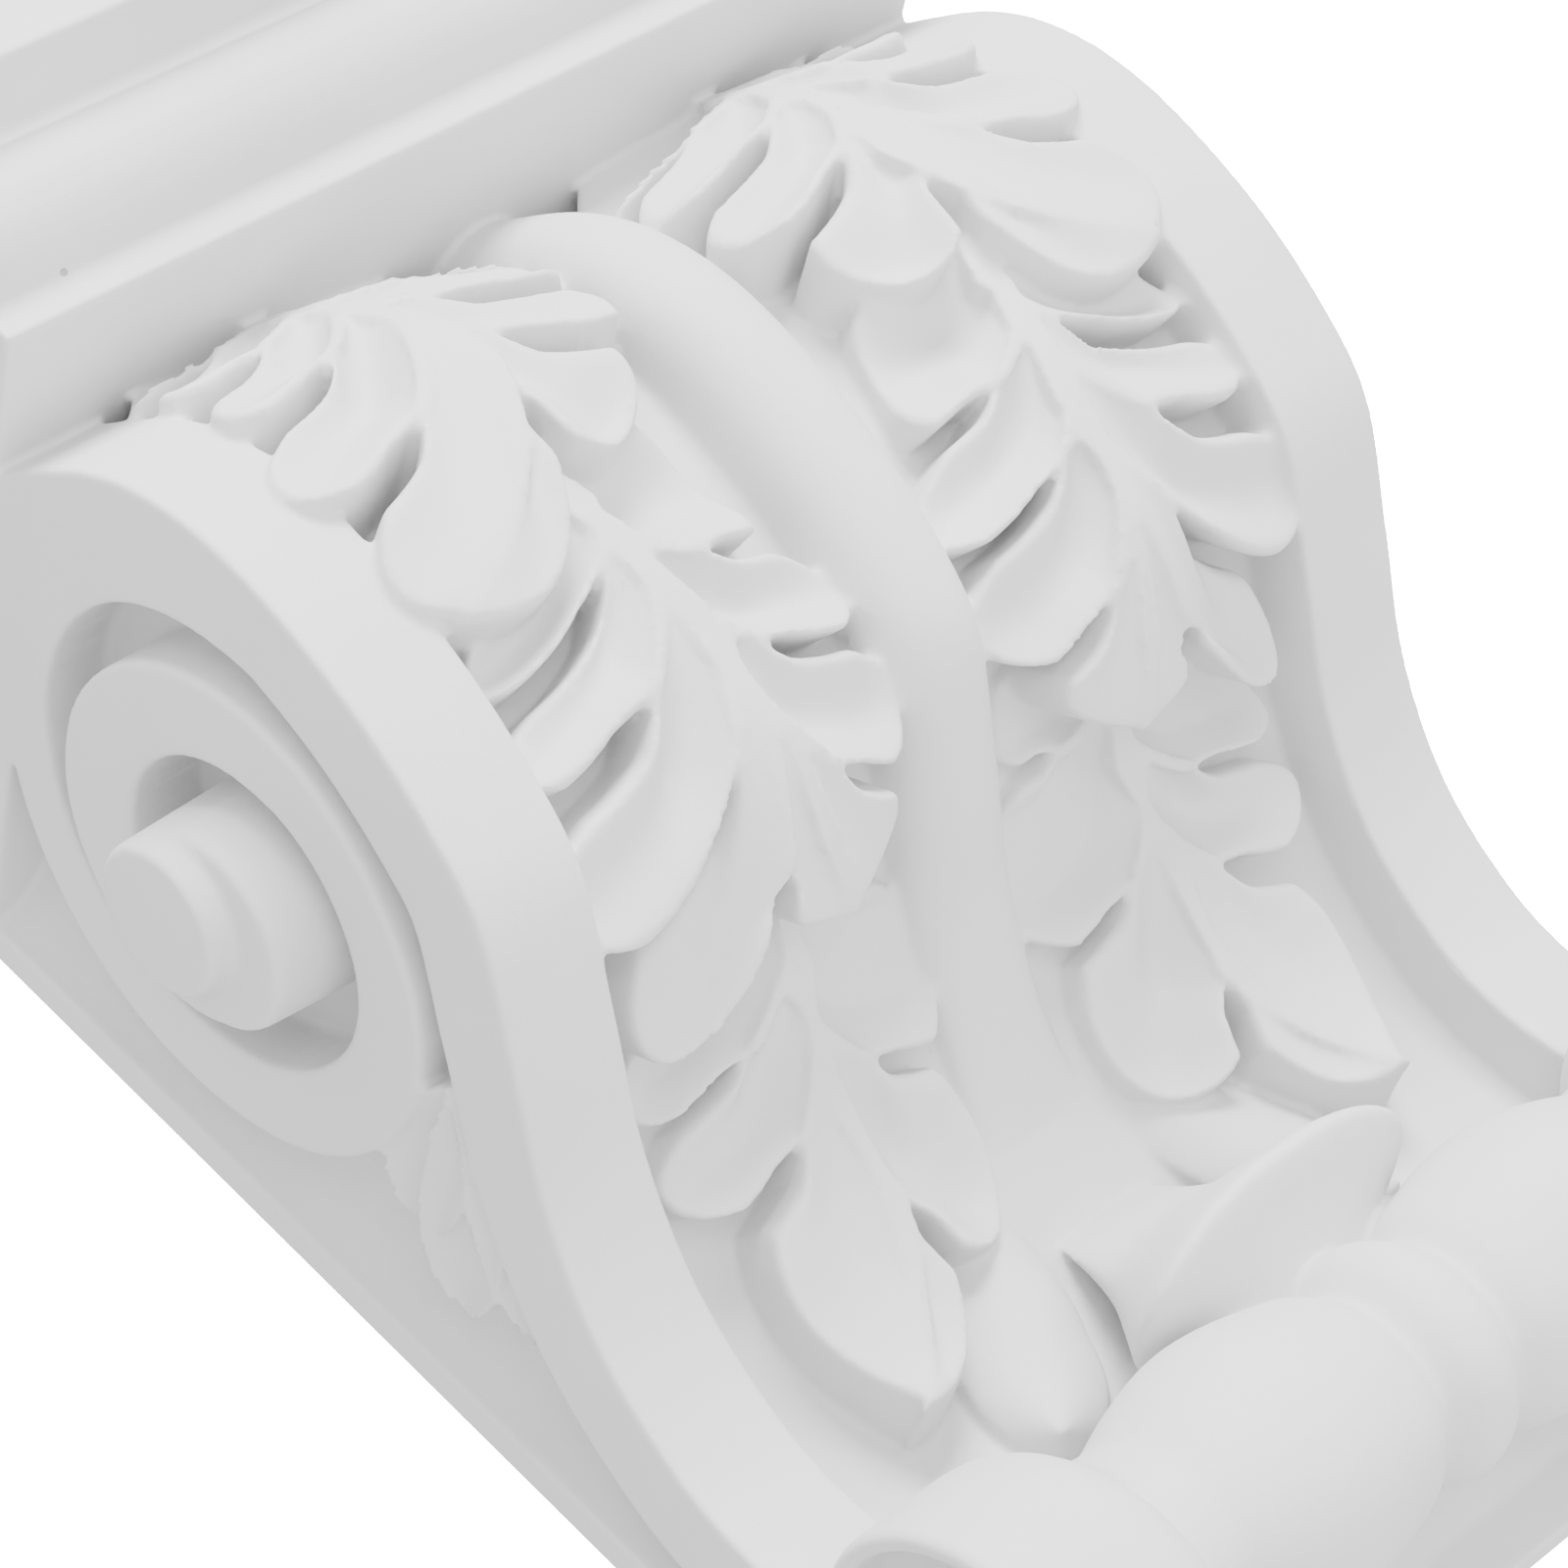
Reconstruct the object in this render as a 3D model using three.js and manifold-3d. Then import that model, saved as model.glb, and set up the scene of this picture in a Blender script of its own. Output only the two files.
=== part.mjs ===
// Beam corbel: one casting with a scrolled bracket under a moulded cap.
// X runs across the corbel, the wall lies at Y = 0 with the front towards -Y, and Z is up.
// The origin is the middle of the flat back, where the corbel is fixed to the wall.
import * as THREE from 'three';
import { mergeVertices } from 'three/addons/utils/BufferGeometryUtils.js';
import Module from 'manifold-3d';

const wasm = await Module();
wasm.setup();

// Driving sizes in millimetres.
const HALF_WIDTH = 90; // middle plane to the outer face of a side band
const TOP = 135; // seat for the beam
const BOTTOM = -135; // lower edge of the back plate
const SOFFIT = 93; // underside of the cap in front of the scroll
const NECK_BOTTOM = 84; // underside of the neck block behind the scroll
const NECK_FRONT = -82;
const PLATE = 10; // thickness of the back plate
const PLATE_COVE = 7; // hollow between the back plate and the side panels
const BAND = 18.7; // width of a band's front face
const RIBBON = 15; // thickness of a band seen from the side
const BAND_HEAD = 12; // how far a band runs up into the cap
const FLOOR = 12.5; // channel floor below the face of the bands
const RECESS = 11; // side panels behind the outer faces
const SINK = 3; // how far joined forms run into each other
const CORE_TOE = [[-18, -112], [-10, -126]]; // end of the body behind the lower scroll, as Y and Z
const BAND_TAIL = [[-30, -100], [-8, -100]]; // end of a band inside the lower scroll, as Y and Z

// The front edge of a band from the cap down to the lower scroll, as Y and Z.
const CREASE = [
  [-92, 93], [-106, 77], [-112.5, 62], [-113.5, 45], [-108.5, 23], [-100, 5], [-90.5, -7],
  [-72, -17.5], [-53, -28], [-38, -42], [-29, -59], [-26.5, -73], [-28, -86],
];

// The rib down the middle of the front.
const RIB_HALF = 10;
const RIB_RISE = 1; // crown of the rib above the bands at the top
const RIB_END = 186; // along the crease, where the rib has died into the floor
const RIB_FADE = 5; // power of the crown's fall towards that end

// Upper scroll on each side: its centre, and the radius of the band's two edges at
// every eighth of a turn from the front, over the top, then round to the eye.
const SCROLL = new THREE.Vector2(-57.5, 39.8);
const WHORL_OUTER = [50, 54, 48, 44.3, 42.5, 43, 41.5, 35.5, 31.5, 31.5, 31, 28, 24.5];
const WHORL_INNER = [40, 41.5, 38.2, 33, 29.8, 29, 26.5, 21.3, 17.8, 17.6, 17.4, 15.6, 13];
const WHORL_RISE = 3.5; // how far the last whorl stands out past the first
const DRUM = { radius: 18, out: 8 }; // third whorl
const EYE = { radius: 11.5, out: 14.5 };

// Lower scroll: a roll across the width, with a drum at each end and a ring in the middle.
const ROLL = new THREE.Vector2(-36.5, -110.5);
const ROLL_DRUM = 31;
const ROLL_DRUM_INNER = 66; // middle plane to the start of the drum's shoulder
const ROLL_NECK = { at: 50, radius: 17.5 };
const ROLL_BULB = { at: 31, radius: 20 };
const ROLL_RING = { half: 6.5, radius: 19, waist: 14.5 };
const ROLL_HOLLOW = { radius: 27, depth: 10 };
const ROLL_EYE = 11;

// Cap moulding along its front, as Y and Z from the soffit outwards.
const CAP_FILLET = { y: -117, height: 6.5 };
const CAP_OVOLO = 11.8; // radius
const CAP_LIST = { out: 1.2, rise: 1.8, height: 2.4 };
const CAP_COVE = { out: 9, rise: 3 };

// Acanthus leaves of one channel, as places across the channel and along the crease. A leaf is
// a sheet along its midrib that rises from lift[0] to lift[1] above the face of the bands and
// droops to both sides. Each lobe of its outer and inner side is given by its tip and by the
// notch that follows it. The tip lobe closes the leaf.
const LEAVES = [
  {
    midrib: [[35, -9], [39, 46]], lift: [4, 6], droop: 6,
    outerStart: [52, 2],
    outer: [[69, 18, 57.5, 20], [73, 30, 60, 32], [75.5, 45, 60, 46]],
    innerStart: [24, 8],
    inner: [[11.5, 34, 26, 23.5], [14, 51, 26.5, 36], [27, 65, 37.5, 48.5]],
    tip: [62, 74, 15],
  },
  {
    midrib: [[31, 60], [33, 122]], lift: [-2, 3], droop: 6,
    outerStart: [43, 68],
    outer: [[62, 80, 48.5, 78], [68.5, 94, 53, 102.5], [75, 118, 56, 125], [64, 142, 41, 128]],
    innerStart: [17, 77],
    inner: [[7.5, 94.5, 27, 96.5], [7, 116, 25, 121.5], [21, 132, 28, 128]],
    tip: [31, 136, 7],
  },
  {
    midrib: [[30, 130], [34, 178]], lift: [-4, -1], droop: 6,
    outerStart: [41.5, 139],
    outer: [[62, 152, 51, 157], [63, 167, 47, 172]],
    innerStart: [14, 139],
    inner: [[3.5, 163, 22.5, 165.5], [16, 192, 32, 181]],
    tip: [52, 206, 13],
  },
  {
    midrib: [[20, 186], [28, 206]], lift: [-7, -7], droop: 3,
    outer: [],
    inner: [],
    tip: [36, 224, 11],
  },
];
const LOBE_TURNS = [0, 0.08, 0.25, 0.5, 0.75, 0.92, 1]; // places round a lobe's edge
const LOBE_FLUTES = [0, 0.3, 0.65, 1]; // places from the midrib to that edge
const LOBE_FULL = 0.7; // power of a lobe's rounding, less is squarer
const LOBE_SLIM = 0.1; // how much a lobe draws in beside the notches
const LOBE_DISH = 3.5; // hollow of a lobe between the ridges that run to the notches
const LOBE_CURL = 2.5; // drop of a lobe at its tip
const NOTCH = 0.9; // half the opening of a notch
const FLUTE_BEND = [0.35, 0.75]; // where a flute turns outwards, as shares across and along
const FLUTE_SWELL = 0.8; // the hollow is deepest before the edge and shallower on it
const ROOT_SHARE = 0.62; // the flutes draw together towards the leaf's base
const MIDRIB_OVER = 2; // how far the two sides of a leaf run into each other
const TIP_STEPS = 5; // along a tip lobe
const TIP_ACROSS = 4;
const TIP_CROWN = 1.5; // a tip lobe is rounded instead of hollow
const TIP_ROOT = 0.3; // width of a tip lobe at its root, as a share of the full width
const TIP_FULL = 0.62; // where along its length it is widest
const TIP_BLUNT = 0.06; // width left at its end
const CHANNEL_HALF = 36; // midrib to the edge of the channel

// Curled tongue over the middle of the roll, as Y and Z along its back, with half widths.
const TONGUE = [[-14, -74, 24], [-30, -79, 22], [-44, -82, 17], [-56, -84.5, 12], [-65, -88.5, 9]];
const TONGUE_FOOT = [-40, -104];

// Leaf in the corner under the upper scroll: root and tips as Y and Z, with half widths.
const SIDE_ROOT = [-56, -10];
const SIDE_TIPS = [[-20.5, 1, 7], [-14, -13, 8], [-21, -30, 8]];
const SIDE_LEAF_OUT = 8; // above the side panel

const crease = new THREE.SplineCurve(CREASE.map(([y, z]) => new THREE.Vector2(y, z)));
crease.arcLengthDivisions = 600;
const CREASE_LENGTH = crease.getLength();

// A point of the front: x across, s along the crease, h out from the face of the bands.
function onFront(x, s, h) {
  const u = THREE.MathUtils.clamp(s / CREASE_LENGTH, 0, 1);
  const foot = crease.getPointAt(u);
  const along = crease.getTangentAt(u);
  const past = s - u * CREASE_LENGTH;
  const y = foot.x + along.x * past + along.y * h;
  const z = foot.y + along.y * past - along.x * h;
  return new THREE.Vector3(x, y, z);
}

// A closed skin over rings of points, with both end rings filled, turned so that it faces out.
function loft(rings) {
  const count = rings[0].length;
  const index = [];
  for (let i = 0; i + 1 < rings.length; i += 1) {
    for (let j = 0; j < count; j += 1) {
      const a = i * count + j;
      const b = i * count + ((j + 1) % count);
      index.push(a, b, a + count, b, b + count, a + count);
    }
  }
  const last = (rings.length - 1) * count;
  for (let j = 0; 2 * j + 2 < count; j += 1) {
    const [a, b, c, d] = [j, j + 1, count - 2 - j, count - 1 - j];
    index.push(a, d, b, last + a, last + b, last + d);
    if (b !== c) index.push(b, d, c, last + b, last + c, last + d);
  }
  const points = rings.flat();
  let volume = 0;
  for (let k = 0; k < index.length; k += 3) {
    const [a, b, c] = index.slice(k, k + 3).map((n) => points[n]);
    volume += a.dot(b.clone().cross(c));
  }
  if (volume < 0) index.reverse();
  const geometry = new THREE.BufferGeometry().setFromPoints(points);
  return geometry.setIndex(index);
}

// An outline in Y and Z carried across the width from x0 to x1.
function acrossWidth(outline, x0, x1) {
  const shape = new THREE.Shape(outline.map((p) => new THREE.Vector2(p.x, p.y)));
  const geometry = new THREE.ExtrudeGeometry(shape, { depth: x1 - x0, bevelEnabled: false });
  const axes = new THREE.Matrix4().set(0, 0, 1, x0, 1, 0, 0, 0, 0, 1, 0, 0, 0, 0, 0, 1);
  return geometry.applyMatrix4(axes);
}

// A profile of [x, radius] turned about an axis along X through the given Y and Z.
function turned(profile, axis, segments) {
  const points = profile.map(([x, radius]) => new THREE.Vector2(radius, x));
  const geometry = new THREE.LatheGeometry(points, segments);
  return geometry.rotateZ(-Math.PI / 2).translate(0, axis.x, axis.y);
}

// The solid of a geometry, ready to be joined and cut.
function solid(geometry) {
  const bare = geometry.clone();
  bare.deleteAttribute('normal');
  bare.deleteAttribute('uv');
  const merged = mergeVertices(bare, 1e-3);
  return new wasm.Manifold(new wasm.Mesh({
    numProp: 3,
    vertProperties: new Float32Array(merged.attributes.position.array),
    triVerts: new Uint32Array(merged.index.array),
  }));
}

// The crease moved into the body by a depth, from s0 to s1, as Y and Z points.
function creaseAt(depth, s0, s1, steps) {
  return Array.from({ length: steps + 1 }, (_, i) => {
    const p = onFront(0, THREE.MathUtils.lerp(s0, s1, i / steps), -depth);
    return new THREE.Vector2(p.y, p.z);
  });
}

function core() {
  const front = creaseAt(FLOOR, 0, CREASE_LENGTH, 24);
  const outline = [
    new THREE.Vector2(-SINK, SOFFIT + SINK),
    new THREE.Vector2(front[0].x, SOFFIT + SINK),
    ...front,
    ...CORE_TOE.map(([y, z]) => new THREE.Vector2(y, z)),
    new THREE.Vector2(-SINK, CORE_TOE[1][1]),
  ];
  const half = HALF_WIDTH - RECESS;
  return acrossWidth(outline, -half, half);
}

function backPlate() {
  const side = [];
  for (let i = 0; i <= 4; i += 1) {
    const a = (i / 4) * Math.PI / 2;
    const inward = PLATE_COVE * (1 - Math.cos(a));
    side.push([HALF_WIDTH - RECESS + PLATE_COVE - inward, -PLATE - PLATE_COVE * Math.sin(a)]);
  }
  const right = [[HALF_WIDTH, 0], [HALF_WIDTH, -PLATE], ...side];
  const left = right.map(([x, y]) => [-x, y]).reverse();
  const shape = new THREE.Shape([...right, ...left].map(([x, y]) => new THREE.Vector2(x, y)));
  const height = SOFFIT + SINK - BOTTOM;
  const plate = new THREE.ExtrudeGeometry(shape, { depth: height, bevelEnabled: false });
  return plate.translate(0, 0, BOTTOM);
}

function neckBlock() {
  const height = SOFFIT + SINK - NECK_BOTTOM;
  const block = new THREE.BoxGeometry(2 * HALF_WIDTH, -NECK_FRONT - SINK, height);
  return block.translate(0, (NECK_FRONT - SINK) / 2, NECK_BOTTOM + height / 2);
}

function cap() {
  const outline = [new THREE.Vector2(0, SOFFIT), new THREE.Vector2(CAP_FILLET.y, SOFFIT)];
  const ovoloStart = SOFFIT + CAP_FILLET.height;
  for (let i = 0; i <= 5; i += 1) {
    const a = (i / 5) * Math.PI / 2;
    const y = CAP_FILLET.y - CAP_OVOLO * Math.sin(a);
    outline.push(new THREE.Vector2(y, ovoloStart + CAP_OVOLO * (1 - Math.cos(a))));
  }
  const listY = CAP_FILLET.y - CAP_OVOLO - CAP_LIST.out;
  const listZ = ovoloStart + CAP_OVOLO + CAP_LIST.rise;
  outline.push(new THREE.Vector2(listY + CAP_LIST.out, listZ), new THREE.Vector2(listY, listZ));
  for (let i = 0; i <= 4; i += 1) {
    const a = (i / 4) * Math.PI / 2;
    const y = listY - CAP_COVE.out * (1 - Math.cos(a));
    outline.push(new THREE.Vector2(y, listZ + CAP_LIST.height + CAP_COVE.rise * Math.sin(a)));
  }
  const front = listY - CAP_COVE.out - CAP_LIST.out;
  outline.push(new THREE.Vector2(front, listZ + CAP_LIST.height + CAP_COVE.rise));
  outline.push(new THREE.Vector2(front, TOP), new THREE.Vector2(0, TOP));
  return acrossWidth(outline, -HALF_WIDTH, HALF_WIDTH);
}

// The scrolled band on one side, from the cap to the lower roll.
function band(side) {
  const outer = creaseAt(0, -BAND_HEAD, CREASE_LENGTH, 28);
  const inner = creaseAt(RIBBON, -BAND_HEAD, CREASE_LENGTH, 28).reverse();
  const tail = BAND_TAIL.map(([y, z]) => new THREE.Vector2(y, z));
  const outline = [...outer, ...tail, ...inner];
  const x0 = side * (HALF_WIDTH - BAND);
  const x1 = side * HALF_WIDTH;
  return acrossWidth(outline, Math.min(x0, x1), Math.max(x0, x1));
}

// Radius from a list that holds one value for each eighth of a turn.
function eighths(list, turns) {
  const place = THREE.MathUtils.clamp(turns * 8, 0, list.length - 1);
  const i = Math.min(Math.floor(place), list.length - 2);
  return THREE.MathUtils.lerp(list[i], list[i + 1], place - i);
}

// The band wound into the upper scroll, rising out of the side as it nears the eye.
function whorls(side) {
  const turns = (WHORL_OUTER.length - 1) / 8;
  const steps = 32;
  const rings = [];
  for (let i = 0; i <= steps; i += 1) {
    const turn = (i / steps) * turns;
    const a = turn * 2 * Math.PI;
    const rise = WHORL_RISE * THREE.MathUtils.smoothstep(turn, 0.5, turns);
    const at = (radius, x) => new THREE.Vector3(
      side * x,
      SCROLL.x - radius * Math.cos(a),
      SCROLL.y + radius * Math.sin(a),
    );
    const outer = eighths(WHORL_OUTER, turn);
    const inner = eighths(WHORL_INNER, turn);
    const face = HALF_WIDTH + rise;
    const root = HALF_WIDTH - RECESS - SINK;
    rings.push([at(outer, root), at(inner, root), at(inner, face), at(outer, face)]);
  }
  return loft(rings);
}

function scrollEye(side) {
  const foot = HALF_WIDTH - RECESS - SINK;
  const profile = [
    [foot, 0], [foot, DRUM.radius + 1.5], [HALF_WIDTH + DRUM.out - 1, DRUM.radius],
    [HALF_WIDTH + DRUM.out, DRUM.radius - 1], [HALF_WIDTH + DRUM.out, EYE.radius],
    [HALF_WIDTH + EYE.out - 1, EYE.radius], [HALF_WIDTH + EYE.out, EYE.radius - 1.2],
    [HALF_WIDTH + EYE.out, 0],
  ];
  const mirrored = profile.map(([x, radius]) => [side * x, radius]);
  if (side < 0) mirrored.reverse();
  return turned(mirrored, SCROLL, 18);
}

function rib() {
  const steps = 16;
  const rings = [];
  for (let i = 0; i <= steps; i += 1) {
    const s = THREE.MathUtils.lerp(-BAND_HEAD, RIB_END, i / steps);
    const crown = RIB_RISE - (RIB_RISE + FLOOR) * Math.max(0, s / RIB_END) ** RIB_FADE;
    const ring = [onFront(-RIB_HALF, s, -FLOOR - SINK), onFront(RIB_HALF, s, -FLOOR - SINK)];
    for (let j = 0; j <= 6; j += 1) {
      const a = (j / 6) * Math.PI;
      const h = -FLOOR + (crown + FLOOR) * Math.sin(a) ** 0.7;
      ring.push(onFront(RIB_HALF * Math.cos(a), s, h));
    }
    rings.push(ring);
  }
  return loft(rings);
}

// Half width of a tip lobe along its length: narrow at the root, full past the middle, round
// at the tip.
function lobeWidth(t) {
  if (t < TIP_FULL) {
    return THREE.MathUtils.lerp(TIP_ROOT, 1, Math.sin((t / TIP_FULL) * Math.PI / 2));
  }
  const past = (t - TIP_FULL) / (1 - TIP_FULL);
  return Math.max(TIP_BLUNT, (1 - past ** 2.4) ** 0.6);
}

// A line from the midrib to a place on a leaf's edge. It leaves along the leaf and bends out.
function flute(root, edge) {
  const bend = [
    THREE.MathUtils.lerp(root[0], edge[0], FLUTE_BEND[0]),
    THREE.MathUtils.lerp(root[1], edge[1], FLUTE_BEND[1]),
  ];
  const places = [root, bend, edge].map(([a, b]) => new THREE.Vector2(a, b));
  return new THREE.QuadraticBezierCurve(...places);
}

// A tip lobe as a closed solid on a surface that place(a, b, h) describes, over the leaf's
// sheet, level(a, b). Its face is hollow by dish, or rounded where dish is below zero.
function tipLobe(place, level, form) {
  const { root, tip, half, dish, foot } = form;
  const spine = flute(root, tip);
  const rings = [];
  for (let i = 0; i <= TIP_STEPS; i += 1) {
    const t = 1 - (1 - i / TIP_STEPS) ** 1.3;
    const at = spine.getPoint(t);
    const along = spine.getTangent(t);
    const width = half * lobeWidth(t);
    const beside = (v) => [at.x - along.y * width * v, at.y + along.x * width * v];
    const ring = [place(...beside(-1), foot), place(...beside(1), foot)];
    for (let j = 0; j <= TIP_ACROSS; j += 1) {
      const v = 1 - (2 * j) / TIP_ACROSS;
      const [a, b] = beside(v);
      ring.push(place(a, b, level(a, b) - dish * (1 - v * v) - LOBE_CURL * t ** 4));
    }
    rings.push(ring);
  }
  return loft(rings);
}

// The edge of a lobe from the notch before it, round its tip, to the notch after it.
function lobeEdge(before, tip, after, turn) {
  const a = turn * Math.PI;
  const out = Math.sin(a) ** LOBE_FULL;
  const beside = (1 - Math.cos(a) * (1 - LOBE_SLIM * Math.sin(a))) / 2;
  return [0, 1].map((k) => {
    const middle = (before[k] + after[k]) / 2;
    return THREE.MathUtils.lerp(before[k], after[k], beside) + (tip[k] - middle) * out;
  });
}

// One side of a leaf as a closed solid, from the midrib out to the edge of its lobes.
function leafSide(place, level, midrib, start, lobes, foot) {
  const share = (notch) => THREE.MathUtils.clamp(ROOT_SHARE * midrib.share(notch[1]), 0, 1);
  const rings = [];
  let notch = start;
  for (const [tipX, tipS, nextX, nextS] of lobes) {
    const before = [notch[0], notch[1] + NOTCH];
    const after = [nextX, nextS - NOTCH];
    const over = -Math.sign(tipX - midrib.at(0)[0]) * MIDRIB_OVER;
    for (const turn of LOBE_TURNS) {
      const edge = lobeEdge(before, [tipX, tipS], after, turn);
      const root = midrib.at(THREE.MathUtils.lerp(share(before), share(after), turn));
      const line = flute([root[0] + over, root[1]], edge);
      const valley = LOBE_DISH * Math.sin(turn * Math.PI);
      const under = [];
      const face = [];
      for (const v of LOBE_FLUTES) {
        const at = line.getPoint(v);
        const hollow = valley * Math.sin(Math.PI * FLUTE_SWELL * v);
        const curl = LOBE_CURL * (v * Math.sin(turn * Math.PI)) ** 4;
        under.push(place(at.x, at.y, foot));
        face.unshift(place(at.x, at.y, level(at.x, at.y) - hollow - curl));
      }
      rings.push([...under, ...face]);
    }
    notch = [nextX, nextS];
  }
  return loft(rings);
}

// The solids of one leaf in the channel on the given side.
function leaf(side, form) {
  const [base, end] = form.midrib;
  const place = (x, s, h) => onFront(side * x, s, h);
  const midrib = {
    share: (s) => (s - base[1]) / (end[1] - base[1]),
    at: (m) => [THREE.MathUtils.lerp(base[0], end[0], m), THREE.MathUtils.lerp(base[1], end[1], m)],
  };
  const level = (x, s) => {
    const m = THREE.MathUtils.clamp(midrib.share(s), 0, 1);
    const off = (x - midrib.at(m)[0]) / CHANNEL_HALF;
    return THREE.MathUtils.lerp(form.lift[0], form.lift[1], m) - form.droop * off * off;
  };
  const foot = -FLOOR - SINK;
  const [tipX, tipS, half] = form.tip;
  const solids = [
    tipLobe(place, level, { root: base, tip: [tipX, tipS], half, dish: -TIP_CROWN, foot }),
  ];
  if (form.outer.length > 0) {
    solids.push(leafSide(place, level, midrib, form.outerStart, form.outer, foot));
    solids.push(leafSide(place, level, midrib, form.innerStart, form.inner, foot));
  }
  return solids;
}

function sideLeaf(side) {
  const panel = HALF_WIDTH - RECESS;
  const place = (y, z, h) => new THREE.Vector3(side * (panel + h), y, z);
  const level = () => SIDE_LEAF_OUT;
  return SIDE_TIPS.map(([y, z, half]) => tipLobe(place, level, {
    root: SIDE_ROOT,
    tip: [y, z],
    half,
    dish: LOBE_DISH / 2,
    foot: -SINK,
  }));
}

function roll() {
  const half = [
    [0, ROLL_RING.radius], [ROLL_RING.half * 0.6, ROLL_RING.radius - 1.2],
    [ROLL_RING.half, ROLL_RING.waist + 1], [ROLL_RING.half + 1.5, ROLL_RING.waist],
    [ROLL_RING.half + 6, ROLL_BULB.radius - 2.2], [ROLL_BULB.at - 8, ROLL_BULB.radius - 0.4],
    [ROLL_BULB.at, ROLL_BULB.radius], [ROLL_BULB.at + 10, ROLL_BULB.radius - 1.6],
    [ROLL_NECK.at, ROLL_NECK.radius], [ROLL_NECK.at + 6, ROLL_NECK.radius + 1.5],
    [ROLL_DRUM_INNER - 5, ROLL_DRUM - 6], [ROLL_DRUM_INNER, ROLL_DRUM - 1.5],
    [ROLL_DRUM_INNER + 5, ROLL_DRUM], [HALF_WIDTH - 2, ROLL_DRUM],
    [HALF_WIDTH, ROLL_DRUM - 2], [HALF_WIDTH, 0],
  ];
  const left = half.slice(1).reverse().map(([x, radius]) => [-x, radius]);
  return turned([...left, ...half], ROLL, 22);
}

// The hollow in the outer face of a drum, with an eye left standing in it.
function rollHollow(side) {
  const floor = HALF_WIDTH - ROLL_HOLLOW.depth;
  const mouth = HALF_WIDTH + SINK;
  const ring = [
    [floor, ROLL_EYE], [floor, ROLL_HOLLOW.radius], [mouth, ROLL_HOLLOW.radius],
    [mouth, ROLL_EYE], [floor, ROLL_EYE],
  ].map(([x, radius]) => [side * x, radius]);
  if (side < 0) ring.reverse();
  return turned(ring, ROLL, 22);
}

function tongue() {
  const foot = new THREE.Vector2(...TONGUE_FOOT);
  const rings = TONGUE.map(([y, z, half]) => [
    new THREE.Vector3(-half, foot.x, foot.y),
    new THREE.Vector3(half, foot.x, foot.y),
    new THREE.Vector3(half, y, z - 4),
    new THREE.Vector3(half * 0.6, y, z),
    new THREE.Vector3(-half * 0.6, y, z),
    new THREE.Vector3(-half, y, z - 4),
  ]);
  return loft(rings);
}

const joined = [core(), backPlate(), neckBlock(), cap(), rib(), roll(), tongue()];
const cuts = [];
for (const side of [-1, 1]) {
  joined.push(band(side), whorls(side), scrollEye(side), ...sideLeaf(side));
  joined.push(...LEAVES.flatMap((form) => leaf(side, form)));
  cuts.push(rollHollow(side));
}
const whole = joined.map(solid).reduce((body, next) => body.add(next));
const finished = cuts.map(solid).reduce((body, next) => body.subtract(next), whole);

const mesh = finished.getMesh();
const geometry = new THREE.BufferGeometry();
geometry.setAttribute('position', new THREE.BufferAttribute(mesh.vertProperties, 3));
geometry.setIndex(new THREE.BufferAttribute(mesh.triVerts, 1));
geometry.computeVertexNormals();

const plaster = new THREE.MeshStandardMaterial({ color: 0xf1f1f0, roughness: 0.85, metalness: 0 });
const casting = new THREE.Mesh(geometry, plaster);
casting.name = 'corbel';

const corbel = new THREE.Group();
corbel.add(casting);

export default corbel;
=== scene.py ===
import math

import bpy
import numpy as np
from mathutils import Matrix, Vector


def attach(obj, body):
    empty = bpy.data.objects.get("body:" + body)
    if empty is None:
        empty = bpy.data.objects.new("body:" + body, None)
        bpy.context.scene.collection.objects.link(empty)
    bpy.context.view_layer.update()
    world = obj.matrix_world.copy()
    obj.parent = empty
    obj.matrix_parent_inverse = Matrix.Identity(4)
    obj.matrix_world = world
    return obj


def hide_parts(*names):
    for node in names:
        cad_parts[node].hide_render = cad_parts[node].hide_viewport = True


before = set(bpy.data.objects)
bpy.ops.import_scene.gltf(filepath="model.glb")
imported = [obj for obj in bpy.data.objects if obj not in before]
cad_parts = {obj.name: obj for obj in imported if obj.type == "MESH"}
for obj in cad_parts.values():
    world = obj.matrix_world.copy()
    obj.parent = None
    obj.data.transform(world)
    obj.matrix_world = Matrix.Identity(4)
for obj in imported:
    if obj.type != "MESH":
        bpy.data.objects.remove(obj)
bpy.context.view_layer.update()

# Body: the block of plaster behind the ornament. One side profile runs straight across between
# the two side panels, and stops at a thicker plate that lies flat against the wall.
# Everything is one casting, so each form below is a closed shell that the last step fuses.
HALF_WIDTH = 90.0
BOTTOM = -135.0
SOFFIT = 93.0
NECK_BOTTOM = 84.0
NECK_FRONT = -82.0
PLATE = 6.0
PLATE_COVE = 17.0
RECESS = 11.0
CHANNEL_DEPTH = 12.5
SINK = 3.0
BODY_UNDERSIDE = (-18, -112)
BODY_BOTTOM = -126.0
CREASE = np.array([
    (-92, 93), (-106, 77), (-112.5, 62), (-113.5, 45), (-108.5, 23), (-100, 5), (-90.5, -7),
    (-72, -17.5), (-53, -28), (-38, -42), (-29, -59), (-26.5, -73), (-28, -86),
], float)

shells = []


def grid_points(x, y, z):
    """Three coordinates spread to one common shape, as points."""
    return np.stack(np.broadcast_arrays(x, y, z), -1)


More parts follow.
